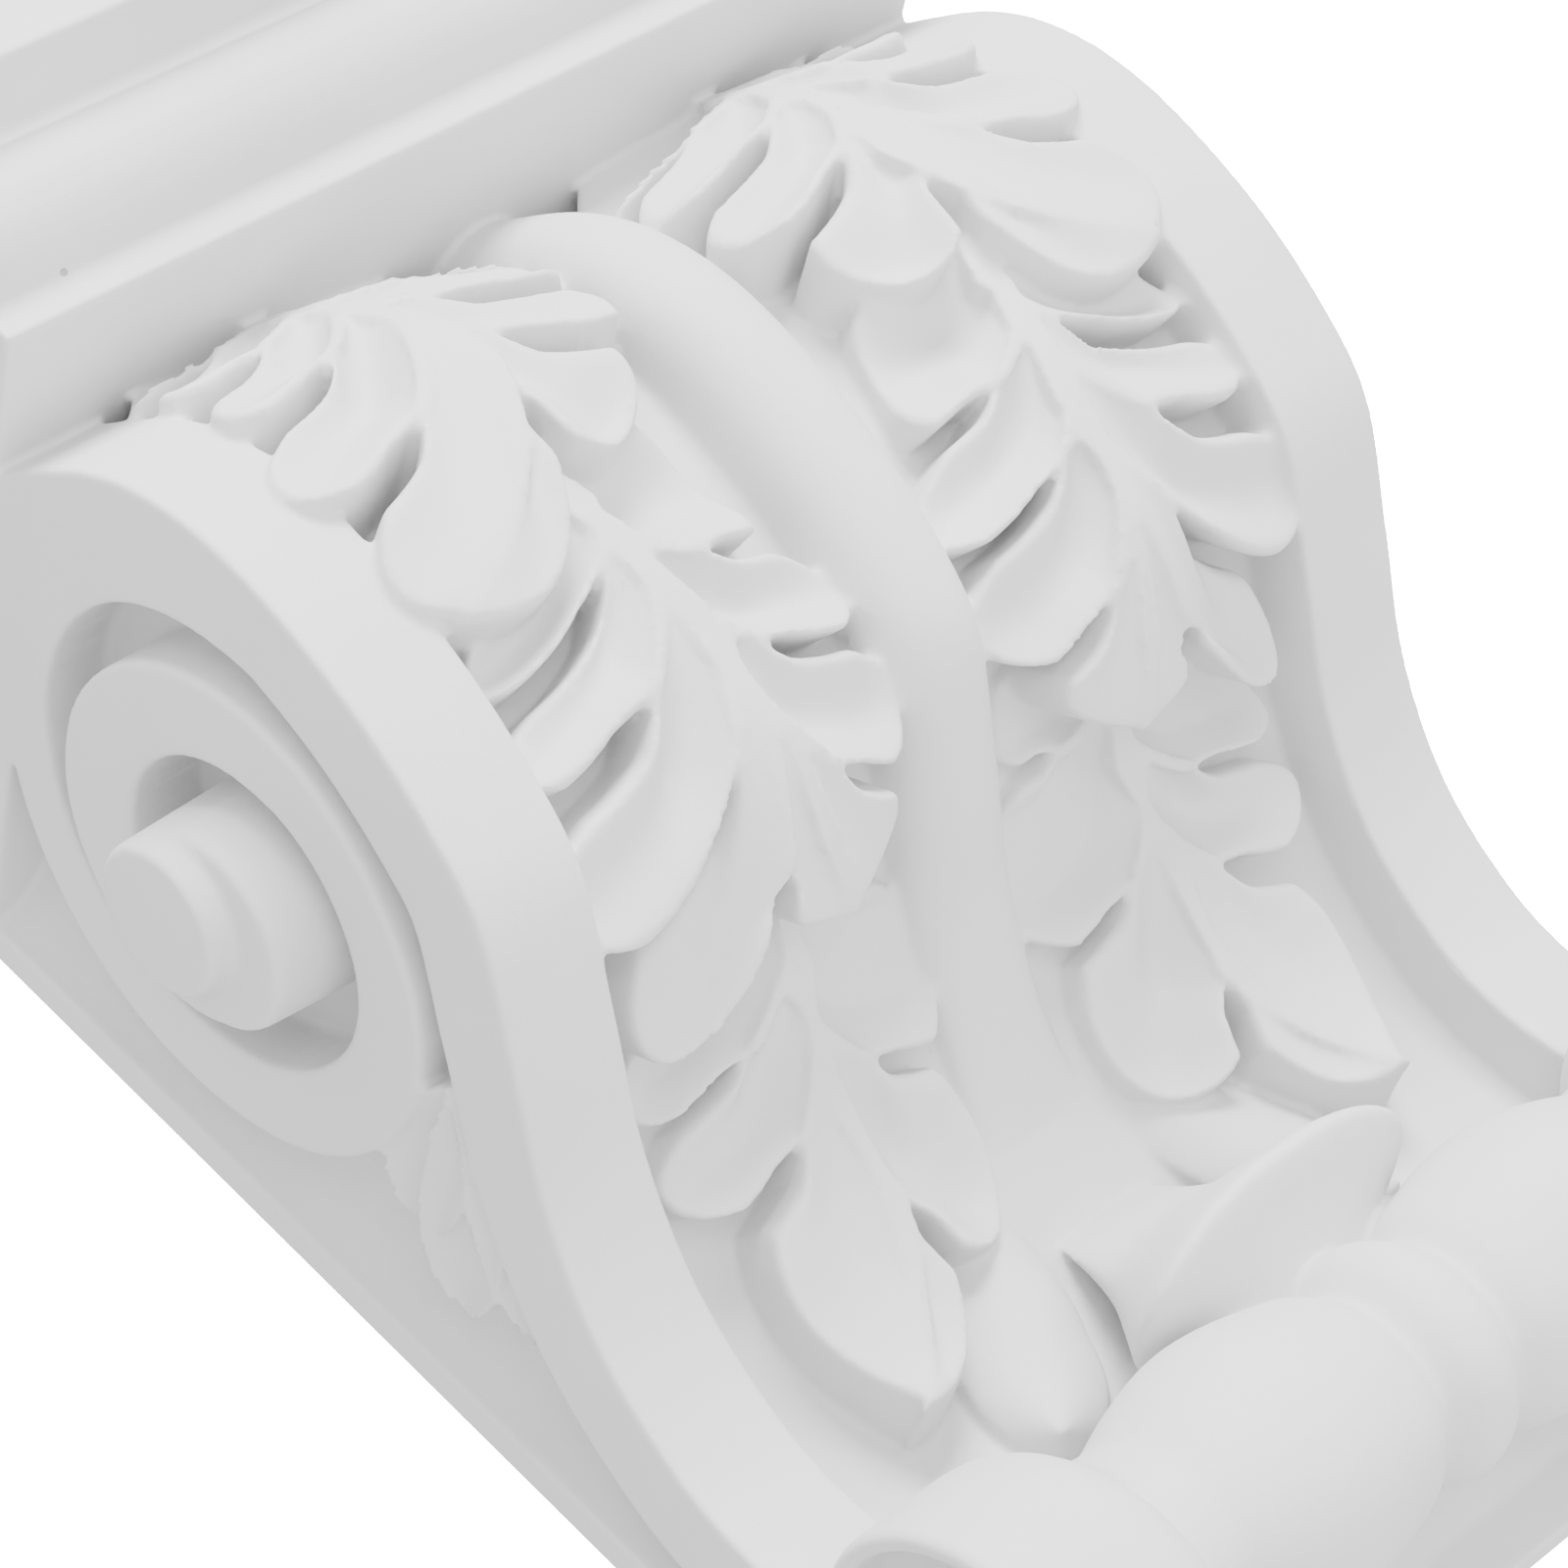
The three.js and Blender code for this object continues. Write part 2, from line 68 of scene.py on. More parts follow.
def add_shell(rings, sheet=False):
    """Closes a stack of rings, an array of (rings, points, 3) in millimetres, into a skin of
    quads with both end rings filled, turned so that its signed volume is positive. The rings of
    a sheet run out along its foot and back along its face, so their ends are filled by rungs."""
    rows, count = rings.shape[:2]
    start = np.arange(rows - 1)[:, None] * count
    here = np.arange(count)
    after = (here + 1) % count
    quads = np.stack([start + here, start + after, start + after + count, start + here + count], -1)
    faces = quads.reshape(-1, 4).tolist()
    last = (rows - 1) * count
    if sheet:
        k = np.arange(count // 2 - 1)
        rungs = np.stack([k, count - 1 - k, count - 2 - k, k + 1], -1)
        faces += rungs.tolist() + (last + rungs[:, ::-1]).tolist()
    else:
        faces.append(list(range(count - 1, -1, -1)))
        faces.append(list(range(last, last + count)))
    points = rings.reshape(-1, 3)
    fan = points[quads.reshape(-1, 4)]
    volume = np.einsum("ij,ij->", fan[:, 0], np.cross(fan[:, 1], fan[:, 2]))
    volume += np.einsum("ij,ij->", fan[:, 0], np.cross(fan[:, 2], fan[:, 3]))
    if volume < 0:
        faces = [face[::-1] for face in faces]
    shells.append((points, faces))


def add_across(outline, x0, x1):
    """Carries a closed outline of (Y, Z) points straight across from x0 to x1."""
    y, z = np.asarray(outline, float).T
    add_shell(grid_points(np.array([[x0], [x1]]), y, z))


def hermite(a, b, slope_a, slope_b, w):
    """The cubic that runs from a to b while w runs from 0 to 1, with these slopes at its ends."""
    return (
        (2 * w**3 - 3 * w**2 + 1) * a + (w**3 - 2 * w**2 + w) * slope_a
        + (3 * w**2 - 2 * w**3) * b + (w**3 - w**2) * slope_b
    )


def crease_table(samples):
    """The crease as a cubic curve through its points, with half the step between its neighbours
    as the slope at each: arc length, (Y, Z) and unit direction, at evenly spaced parameters."""
    padded = np.pad(CREASE, ((1, 1), (0, 0)), mode="edge")
    slope = (padded[2:] - padded[:-2]) / 2
    u = np.linspace(0, len(CREASE) - 1, samples)
    i = np.minimum(u.astype(int), len(CREASE) - 2)
    point = hermite(CREASE[i], CREASE[i + 1], slope[i], slope[i + 1], (u - i)[:, None])
    step = np.hypot(*np.diff(point, axis=0).T)
    length = np.concatenate([[0], np.cumsum(step)])
    along = np.gradient(point, length, axis=0)
    along /= np.hypot(*along.T)[:, None]
    return length, point, along


crease_s, crease_point, crease_along = crease_table(4000)
CREASE_LENGTH = crease_s[-1]


def on_front(x, s, h):
    """A point of the front: x across, s along the crease and h out from the bands' face, which
    is the crease point at s moved h along its outward normal. Past the ends it runs straight."""
    x, s, h = np.broadcast_arrays(np.asarray(x, float), s, h)
    inside = np.clip(s, 0, CREASE_LENGTH)
    y, z = (np.interp(inside, crease_s, crease_point[:, k]) for k in (0, 1))
    ty, tz = (np.interp(inside, crease_s, crease_along[:, k]) for k in (0, 1))
    past = s - inside
    return np.stack([x, y + ty * past + tz * h, z + tz * past - ty * h], -1)


inside_cap = SOFFIT + SINK
floor_line = on_front(0, np.linspace(0, CREASE_LENGTH, 160), -CHANNEL_DEPTH)[:, 1:]
body_outline = np.vstack([
    [(-SINK, inside_cap), (floor_line[0, 0], inside_cap)],
    floor_line,
    [BODY_UNDERSIDE, (-PLATE, BODY_BOTTOM), (-SINK, BODY_BOTTOM)],
])
add_across(body_outline, RECESS - HALF_WIDTH, HALF_WIDTH - RECESS)

quarter = np.linspace(0, math.pi / 2, 10)
plate_cove = np.stack([
    HALF_WIDTH - RECESS * np.sin(quarter),
    -PLATE - PLATE_COVE * (1 - np.cos(quarter)),
], -1)
plate_inner = HALF_WIDTH - RECESS - SINK
plate_right = np.vstack([
    [(HALF_WIDTH, 0)], plate_cove, [(plate_inner, -PLATE - PLATE_COVE), (plate_inner, -PLATE)],
])
plate_outline = np.vstack([plate_right, plate_right[::-1] * (-1, 1)])
plate_z = np.array([[BOTTOM], [inside_cap]])
add_shell(grid_points(plate_outline[:, 0], plate_outline[:, 1], plate_z))

neck = [
    (NECK_FRONT, NECK_BOTTOM), (NECK_FRONT, inside_cap), (-SINK, inside_cap), (-SINK, NECK_BOTTOM),
]
add_across(neck, -HALF_WIDTH, HALF_WIDTH)

# Cap: the moulded slab on top that carries the beam, cast in one with the body. A fillet, a
# round ovolo, a thin list and a cove step out to a plain fascia, all run straight across.
TOP = 135.0
FILLET_Y = -117.0
FILLET_HEIGHT = 6.5
OVOLO = 11.8
LIST_OUT = 1.2
LIST_RISE = 1.8
LIST_HEIGHT = 2.4
COVE_OUT = 9.0
COVE_RISE = 3.0

turn = np.linspace(0, math.pi / 2, 24)
ovolo_z = SOFFIT + FILLET_HEIGHT
ovolo = np.stack([FILLET_Y - OVOLO * np.sin(turn), ovolo_z + OVOLO * (1 - np.cos(turn))], -1)
list_y = FILLET_Y - OVOLO - LIST_OUT
list_z = ovolo_z + OVOLO + LIST_RISE
cove = np.stack([
    list_y - COVE_OUT * (1 - np.cos(turn)),
    list_z + LIST_HEIGHT + COVE_RISE * np.sin(turn),
], -1)
fascia_y = list_y - COVE_OUT - LIST_OUT
cap_outline = np.vstack([
    [(0, SOFFIT), (FILLET_Y, SOFFIT)],
    ovolo,
    [(list_y + LIST_OUT, list_z), (list_y, list_z)],
    cove,
    [(fascia_y, cove[-1, 1]), (fascia_y, TOP), (0, TOP)],
])
add_across(cap_outline, -HALF_WIDTH, HALF_WIDTH)

# Side bands and upper scrolls: a flat band of the casting runs down each edge of the front in
# an S, and at the top winds into a scroll on the side of the block, whorl inside whorl, to a
# raised eye.
BAND = 18.7
RIBBON = 15.0
BAND_HEAD = 12.0
ARRIS = 0.8
ARRIS_POINTS = 5
SCROLL = np.array([-57.5, 39.8])
WHORL_OUTER = np.array([50, 54, 48, 44.3, 42.5, 43, 41.5, 36.5, 34.5, 33.5, 31.5, 28, 24.5, 20.5, 17])
WHORL_INNER = np.array([40, 41.5, 38.2, 33, 29.8, 29.3, 28.5, 25.2, 21.8, 19, 16.5, 14.5, 13, 10.5, 9])
KNOTS_PER_TURN = 8
WHORL_LEVEL_TURNS = 0.5
WHORL_RISE = 3.5
BOSS = (-59, 33)
BOSS_RADIUS = 15.3
BOSS_OUT = 9.0
EYE = (-59.5, 38)
EYE_RADIUS = 11.6
EYE_OUT = 13.5
BUTTON_DRAFT = 1.0
BUTTON_ROUND = 0.12
BUTTON_SEGMENTS = 96
AXIS_RADIUS = 0.5


def soft_box(half_u, half_v, radius):
    """A rectangle with rounded corners, as two arrays of offsets. half_u and half_v may be
    columns, one row for each step along a path. Each corner is a quarter circle of radius."""
    a = np.linspace(0, math.pi / 2, ARRIS_POINTS)
    a = np.concatenate([a, a + math.pi / 2, a + math.pi, a + 1.5 * math.pi])
    su = np.repeat([1, -1, -1, 1], ARRIS_POINTS)
    sv = np.repeat([1, 1, -1, -1], ARRIS_POINTS)
    return su * (half_u - radius) + radius * np.cos(a), sv * (half_v - radius) + radius * np.sin(a)


def smooth_knots(values, share):
    """Values along evenly spaced knots, at any share of the way, by cubics that take their
    slopes from the neighbouring knots."""
    place = share * (len(values) - 1)
    i = np.minimum(place.astype(int), len(values) - 2)
    slope = np.gradient(values)
    return hermite(values[i], values[i + 1], slope[i], slope[i + 1], place - i)


def ease(t):
    """A smooth step from 0 to 1 for t from 0 to 1."""
    t = np.clip(t, 0, 1)
    return t * t * (3 - 2 * t)


def add_turned(profile, axis, segments):
    """Turns a profile of (x, radius) points about an axis along X through (Y, Z)."""
    a = np.linspace(0, 2 * math.pi, segments, endpoint=False)
    profile = np.asarray(profile, float)
    x = profile[:, :1]
    radius = profile[:, 1:]
    add_shell(grid_points(x, axis[0] + radius * np.cos(a), axis[1] + radius * np.sin(a)))


def rounded(points, share=0.5):
    """A polyline with each inner corner cut by a quadratic curve that starts and ends at the
    given share of the shorter neighbouring leg."""
    points = np.asarray(points, float)
    out = [points[:1]]
    t = np.linspace(0, 1, 6)[:, None]
    for before, corner, after in zip(points, points[1:], points[2:]):
        legs = np.linalg.norm(before - corner), np.linalg.norm(after - corner)
        reach = share * min(legs)
        a = corner + (before - corner) / legs[0] * reach
        b = corner + (after - corner) / legs[1] * reach
        out.append(a * (1 - t)**2 + 2 * corner * t * (1 - t) + b * t**2)
    out.append(points[-1:])
    return np.vstack(out)


def add_band(side):
    """A soft-edged strip carried down the crease, its face on the crease itself."""
    s = np.linspace(-BAND_HEAD, CREASE_LENGTH, 240)[:, None]
    du, dv = soft_box(BAND / 2, RIBBON / 2, ARRIS)
    add_shell(on_front(side * (HALF_WIDTH - BAND / 2 + du), s, dv - RIBBON / 2))


def add_scroll(side):
    """A soft-edged strip wound in a spiral between an outer and an inner radius. Its face rises
    out of the side after half a turn. A boss and an eye are turned in its middle."""
    turns = np.linspace(0, (len(WHORL_OUTER) - 1) / KNOTS_PER_TURN, 200)
    outer = smooth_knots(WHORL_OUTER, turns / turns[-1])
    inner = smooth_knots(WHORL_INNER, turns / turns[-1])
    rising = ease((turns - WHORL_LEVEL_TURNS) / (turns[-1] - WHORL_LEVEL_TURNS))
    face = HALF_WIDTH + WHORL_RISE * rising
    root = HALF_WIDTH - RECESS - SINK
    du, dv = soft_box((outer - inner)[:, None] / 2, (face - root)[:, None] / 2, ARRIS)
    radius = (outer + inner)[:, None] / 2 + du
    angle = turns[:, None] * 2 * math.pi
    add_shell(np.stack([
        side * ((face + root)[:, None] / 2 + dv),
        SCROLL[0] - radius * np.cos(angle),
        SCROLL[1] + radius * np.sin(angle),
    ], -1))
    for centre, wide, out in ((BOSS, BOSS_RADIUS, BOSS_OUT), (EYE, EYE_RADIUS, EYE_OUT)):
        front = HALF_WIDTH + out
        button = [(root, AXIS_RADIUS), (root, wide + BUTTON_DRAFT), (front, wide), (front, AXIS_RADIUS)]
        add_turned(rounded(button, BUTTON_ROUND) * (side, 1), centre, BUTTON_SEGMENTS)


for side in (-1, 1):
    add_band(side)
    add_scroll(side)

# Middle rib: a round cord of plaster, cast down the middle of the front. It is level with the
# bands at the top, and sinks into the floor of the channels before it reaches the roll.
RIB_HALF = 10.0
RIB_RISE = 1.0
RIB_END = 186.0
RIB_FADE = 5.0
RIB_FULLNESS = 0.7

s = np.linspace(-BAND_HEAD, RIB_END, 160)[:, None]
crown = RIB_RISE - (RIB_RISE + CHANNEL_DEPTH) * np.clip(s / RIB_END, 0, 1)**RIB_FADE
a = np.linspace(0, math.pi, 28)
rib_x = np.concatenate([[-RIB_HALF, RIB_HALF], RIB_HALF * np.cos(a)])
rib_h = np.concatenate([
    np.full((len(s), 2), -CHANNEL_DEPTH - SINK),
    -CHANNEL_DEPTH + (crown + CHANNEL_DEPTH) * np.sin(a)**RIB_FULLNESS,
], 1)
add_shell(on_front(rib_x, s, rib_h))

# Acanthus leaves: three leaves of the same plaster overlap down each channel. Each is a sheet
# that droops from its midrib to both sides, and slits along its flutes part it into dished
# lobes.
CHANNEL_HALF = 36.0
LEAF_FOOT = -CHANNEL_DEPTH - SINK

# A lobe is its tip as (x, s), its rise there and how far it tucks under the one before it. Then
# come the mouth of the slit after it, the slit's half width and where along the flute it opens.
LEAVES = [
    dict(
        midrib=((46, -9), (39, 46)), lift=(3, 6), droop=(2, 6), tip=(69, 76), tip_rise=0,
        outer_start=(60, -4), inner_start=(16, 0), outer_shoulder=(75, 69), inner_shoulder=(54, 78),
        outer=(
            ((70, 6), 3, 0, (71, 12), 1.5, 0.6), ((72, 18), 3, 2, (71, 24), 1.5, 0.6),
            ((73, 31), 3, 2, (72, 38), 1.4, 0.5), ((77, 47), 2, 2, (74, 57), 2, 0.55),
        ),
        inner=(
            ((9, 14), 0, 0, (9, 21), 1, 0.6), ((10, 28), 0, 1, (10, 35), 1.5, 0.42),
            ((11, 43), 0, 2, (15, 50), 1.6, 0.42), ((26, 63), 0, 2, (40, 65), 2, 0.45),
        ),
    ),
    dict(
        midrib=((44, 46), (33, 124)), lift=(-2, 5), droop=(6, 10), tip=(30, 139), tip_rise=0,
        outer_start=(59, 73), inner_start=(18, 62), outer_shoulder=(38, 137), inner_shoulder=(20, 133),
        outer=(
            ((70, 82), 2, 0, (69, 89), 1.9, 0.27), ((72, 96), 3, 2, (71, 105), 2.6, 0.5),
            ((76, 119), 6, 2, (67, 130), 1.6, 0.3), ((63, 147), 3, 5, (43, 136), 2.2, 0.74),
        ),
        inner=(
            ((18, 72), 0, 0, (14, 86), 1.6, 0.6), ((9, 96), 0, 1, (10.5, 104), 1.4, 0.45),
            ((8, 116), 0, 2, (14, 125), 1.8, 0.55),
        ),
    ),
    dict(
        midrib=((33, 118), (36, 182)), lift=(-9.5, 0), droop=(2, 5), tip=(52, 208), tip_rise=2,
        outer_start=(55, 140), inner_start=(14, 128), outer_shoulder=(58, 192), inner_shoulder=(42, 206),
        outer=(
            ((66, 151), 2, 0, (66, 159), 1.5, 0.55), ((67, 167), 2, 2, (60, 175), 2.2, 0.55),
        ),
        inner=(
            ((13, 135), 0, 0, (12, 143), 1.6, 0.68), ((7, 157), 0, 1, (12, 170), 1.6, 0.5),
            ((16, 190), 0, 2, (31, 196), 2, 0.5),
        ),
    ),
]
FLUTE_BEND = dict(outer=np.array([0.22, 0.9]), inner=np.array([0.2, 0.9]))
MIDRIB_BEND = np.array([0.25, 0.75])
MIDRIB_OVER = 2.0
MIDRIB_TAPER = 0.6
ROOT_SHARE = dict(outer=0.52, inner=0.62)
SLIT_EYE = 0.35
SLIT_SWELL = 0.6
TINY = 1e-6
LOBE_LAP = 1.0
LOBE_END = 0.1
LOBE_END_POWER = 4
LOBE_CROWN = 0.5
LOBE_LOWEST = -10.5
LOBE_CURL = 1.5
CURL_POWER = 4
LOBE_ROUND = 1.6
DISH_SHARE = dict(outer=0.4, inner=0.36)
TIP_DISH_SHARE = 0.1
DISH_ROUND = 1.4
DISH_FROM = 0.58
DISH_RIM = 0.7
DISH_RIM_POWER = 8
TUCK_ACROSS = 0.5
TUCK_ALONG = 0.25


def mix(a, b, t):
    """The value a share t of the way from a to b."""
    return a + (np.asarray(b, float) - a) * t


def crowded(count, power):
    """Shares from 0 to 1 that crowd towards 1, the more so the higher the power."""
    return 1 - (1 - np.linspace(0, 1, count))**power


def flute_control(root, edge, bend):
    """The middle control point of a flute, at the bend's shares of its reach. The steeper the
    flute runs along the leaf, the nearer these come to a half, so it runs straighter."""
    across, along = np.abs(edge - root)
    return root + (edge - root) * mix(0.5, bend, min(1.0, across / max(along, 1.0)))


def flute(root, edge, bend, t):
    """A quadratic curve from a point on the midrib to a point on the leaf's edge. Its middle
    control point makes it leave along the leaf and then bend out."""
    control = flute_control(root, edge, bend)
    t = t[..., None]
    return root * (1 - t)**2 + 2 * control * t * (1 - t) + edge * t**2


def slit_half(t, eye, gap):
    """Half width of a slit along its flute: it opens as a drop over a share of its length and
    then keeps its gap. Above the eye the lobes lap over each other."""
    along = np.clip((t - eye) / (1 - eye + TINY), 0, 1)
    return mix(-LOBE_LAP, gap, np.clip(along / SLIT_EYE, 0, 1)**SLIT_SWELL)


def slit_side(root, mouth, bend, t, shift):
    """A flute moved sideways by shift, along its normal in the sheet."""
    line = flute(root, mouth, bend, t)
    control = flute_control(root, mouth, bend)
    along = 2 * (1 - t[..., None]) * (control - root) + 2 * t[..., None] * (mouth - control)
    along /= np.hypot(along[..., 0], along[..., 1])[..., None]
    return line + np.stack([-along[..., 1], along[..., 0]], -1) * shift[..., None]


def add_leaf_side(place, level, form, which):
    """The lobes of one side of a leaf and half its tip. Each lobe is a patch between the flutes
    of its two slits and a middle flute to its tip, blended by a parabola across. Its face
    hollows by a share of its width, and its edge rounds over to a straight wall."""
    base, end = (np.array(p, float) for p in form["midrib"])
    bend = FLUTE_BEND[which]
    over = 1 if which == "outer" else -1

    def root_at(s):
        share = np.clip(ROOT_SHARE[which] * (s - base[1]) / (end[1] - base[1]), 0, 1)
        return mix(base, end, share) - (over * MIDRIB_OVER, 0)

    run = crowded(44, 1.4)
    v = np.linspace(0, 1, 36)[:, None]
    w = v[..., None]
    mouth = np.array(form[which + "_start"], float)
    eye, gap = 1.0, 0.0
    tip_half = (form[which + "_shoulder"], form["tip_rise"], 0, form["tip"], 0, 1.0)
    for lobe in form[which] + (tip_half,):
        half = lobe is tip_half
        tip, rise, tuck, after, after_gap, after_eye = lobe
        tip, after = np.array(tip, float), np.array(after, float)

        corner = 1 - v if half else np.abs(2 * v - 1)
        t = run * (1 - LOBE_END * corner**LOBE_END_POWER)
        first_root = root_at(mouth[1])
        first = slit_side(first_root, mouth, bend, t, over * slit_half(t, eye, gap))
        last_root = end if half else root_at(after[1])
        if half:
            last = flute(last_root, after, MIDRIB_BEND, t)
            last = last - np.stack([over * MIDRIB_OVER * (1 - MIDRIB_TAPER * t), 0 * t], -1)
        else:
            last = slit_side(last_root, after, bend, t, -over * slit_half(t, after_eye, after_gap))
        middle = flute((first_root + last_root) / 2, tip, MIDRIB_BEND if half else bend, t)
        at = first * (1 - w) * (1 - 2 * w) + 4 * w * (1 - w) * middle + last * w * (2 * w - 1)
        a, b = at[..., 0], at[..., 1]

        crown = (v if half else np.sin(math.pi * v))**LOBE_CROWN
        width = np.hypot(*np.moveaxis(last - first, -1, 0))
        length = np.hypot(*(tip - first_root))
        dish = width * (TIP_DISH_SHARE if half else DISH_SHARE[which])
        dish = dish * np.abs(np.sin(math.pi * v))**DISH_ROUND
        hollow = dish * ease(t / DISH_FROM) * (1 - DISH_RIM * run**DISH_RIM_POWER)
        tucked = tuck * (1 - ease(v / TUCK_ACROSS)) * ease((t - eye) / TUCK_ALONG)
        curl = LOBE_CURL * run**CURL_POWER * crown
        near = np.minimum((1 - run) * length, np.where(t > eye, v * width, length))
        near = np.minimum(near, np.where(t > after_eye, (1 - v) * width, length))
        rim = np.clip(1 - near / LOBE_ROUND, 0, 1)
        h = np.maximum(level(a, b) + rise * t * t * crown - hollow - tucked - curl, LOBE_LOWEST)
        h -= LOBE_ROUND * (1 - np.sqrt(1 - rim**2))
        foot = np.full_like(a, LEAF_FOOT)
        add_shell(np.concatenate([place(a, b, foot), place(a, b, h)[:, ::-1]], 1), sheet=True)
        mouth, eye, gap = after, after_eye, after_gap


def add_leaf(side, form):
    """The shells of one leaf in the channel on one side. Its sheet is a line along the midrib
    between two heights, less a parabola of the distance from the midrib on either side."""
    base, end = form["midrib"]

    def place(x, s, h):
        return on_front(side * x, s, h)

    def level(x, s):
        m = np.clip((s - base[1]) / (end[1] - base[1]), 0, 1)
        off = (x - mix(base[0], end[0], m)) / CHANNEL_HALF
        droop = np.where(off > 0, *form["droop"])
        return mix(form["lift"][0], form["lift"][1], m) - droop * off * off

    add_leaf_side(place, level, form, "outer")
    add_leaf_side(place, level, form, "inner")


for side in (-1, 1):
    for form in LEAVES:
        add_leaf(side, form)

# Corner leaves: a small three-lobed leaf of the casting fills the corner of each side panel,
# between the underside of the scroll and the band.
SIDE_ROOT = (-58, -9)
SIDE_TIPS = ((-25, -4, 8), (-16, -15, 8.5), (-24, -31, 10))
SIDE_LEAF_OUT = 11.0
SIDE_DISH = 2.5
LOBE_BEND = np.array([0.35, 0.75])
LOBE_NARROW = 0.3
LOBE_FULL = 0.62
LOBE_BLUNT = 0.06
LOBE_TIP_POWERS = (2.4, 0.6)


def lobe_width(t):
    """Half width of a single lobe along its length, as a share: a quarter sine up to the widest
    place, then a superellipse that closes at the tip."""
    grow = mix(LOBE_NARROW, 1, np.sin(np.minimum(t / LOBE_FULL, 1) * math.pi / 2))
    past = np.clip((t - LOBE_FULL) / (1 - LOBE_FULL), 0, 1)
    inner_power, outer_power = LOBE_TIP_POWERS
    close = np.maximum(LOBE_BLUNT, (1 - past**inner_power)**outer_power)
    return np.where(t < LOBE_FULL, grow, close)


def add_lobe(place, level, root, tip, half, dish, foot):
    """A lobe along one flute: its width follows lobe_width, its face lies dish below the leaf's
    sheet by a parabola across, and its walls drop to the foot."""
    t = crowded(40, 1.3)
    spine = flute(np.array(root, float), np.array(tip, float), LOBE_BEND, t)
    along = np.gradient(spine, axis=0)
    along /= np.hypot(*along.T)[:, None]
    v = np.linspace(1, -1, 25)
    width = (half * lobe_width(t))[:, None]
    a = spine[:, :1] - along[:, 1:] * width * v
    b = spine[:, 1:] + along[:, :1] * width * v
    h = level(a, b) - dish * (1 - v * v) - LOBE_CURL * t[:, None]**CURL_POWER
    under = place(a[:, ::-1], b[:, ::-1], np.full_like(a, foot))
    add_shell(np.concatenate([under, place(a, b, h)], 1), sheet=True)


def add_corner_leaf(side):
    """Lobes that share a root on the side panel, each at one height above it."""
    def place(y, z, h):
        return grid_points(side * (HALF_WIDTH - RECESS + h), y, z)

    def level(y, z):
        return np.full_like(y, SIDE_LEAF_OUT)

    for y, z, half in SIDE_TIPS:
        add_lobe(place, level, SIDE_ROOT, (y, z), half, SIDE_DISH, -SINK)


for side in (-1, 1):
    add_corner_leaf(side)

# Lower roll: a turned roll of plaster across the foot, with a ring in its middle, a bulb on
# each side of it and a hollow drum at each end, into which the bands run by a heel. A curled
# tongue lies over its middle, between two lobes that rise from the floor of the channels.
ROLL = (-36.5, -110.5)
ROLL_PROFILE = [
    (0, 19), (3.9, 17.8), (6.5, 15.5), (8, 14.5), (12.5, 18), (25, 20.9), (33, 21.5), (43, 19.3),
    (51.5, 16), (57.5, 17.5), (59.5, AXIS_RADIUS),
]
DRUM = np.array([-36.5, -113.5])
DRUM_RADIUS = 28.0
DRUM_HOLLOW = 25.0
DRUM_EYE = 11.0
DRUM_FLOOR = HALF_WIDTH - 10.0
DRUM_PROFILE = [
    (51.5, AXIS_RADIUS), (53.5, 13), (57.5, 16), (61, DRUM_RADIUS - 6), (66, DRUM_RADIUS - 1.5),
    (71, DRUM_RADIUS), (HALF_WIDTH - 1, DRUM_RADIUS), (HALF_WIDTH, DRUM_RADIUS - 1),
    (HALF_WIDTH, DRUM_HOLLOW), (DRUM_FLOOR, DRUM_HOLLOW - 1), (DRUM_FLOOR, DRUM_EYE + 1),
    (HALF_WIDTH, DRUM_EYE), (HALF_WIDTH, AXIS_RADIUS),
]
ROLL_SEGMENTS = 128
HEEL = [(-9.5, -93), (-7, -101)]
HEEL_TURN = (10, 74)
HEEL_LAP = 2.0
HEEL_OVER = 1.0
TONGUE = np.array([
    (10, -4, -52), (12, 0, -58), (14, 6, -64), (17, 13, -69), (21, 22, -73), (26, 31, -76.5),
    (30, 37, -79.3), (31.8, 39, -80.7), (32, 39.2, -81.5), (31.6, 38.6, -82.5), (29, 36, -84.5),
    (25, 32, -87), (20, 27, -91), (15, 22, -97), (12, 19, -104),
], float)
TONGUE_BACK = -16.0
TONGUE_DROOP = 5.0
TONGUE_WIDEST = 32.0
TONGUE_POWER = 3.0
TONGUE_PINCH = 0.5
FOOT_LOBE_ROOT = (15, 176)
FOOT_LOBE_TIP = (37, 220)
FOOT_LOBE_HALF = 10.5
FOOT_LOBE_LOW = (182, -17)
FOOT_LOBE_HIGH = (206, -9)
FOOT_LOBE_RIDGE = 5.0


def mirrored(profile):
    """A profile of (x, radius) points on the other side of the middle, in order of x."""
    return [(-x, radius) for x, radius in profile[::-1]]


heel_turn = np.radians(np.linspace(*HEEL_TURN, 12))
heel = np.vstack([
    on_front(0, CREASE_LENGTH - HEEL_LAP, [-ARRIS, -RIBBON])[:, 1:],
    HEEL,
    DRUM + (DRUM_HOLLOW + HEEL_OVER) * np.stack([np.cos(heel_turn), np.sin(heel_turn)], -1),
])
for side in (-1, 1):
    add_across(heel, side * (HALF_WIDTH - BAND + ARRIS), side * (HALF_WIDTH - ARRIS))
add_turned(rounded(mirrored(ROLL_PROFILE)[:-1] + ROLL_PROFILE), ROLL, ROLL_SEGMENTS)
add_turned(rounded(DRUM_PROFILE), DRUM, ROLL_SEGMENTS)
add_turned(rounded(mirrored(DRUM_PROFILE)), DRUM, ROLL_SEGMENTS)


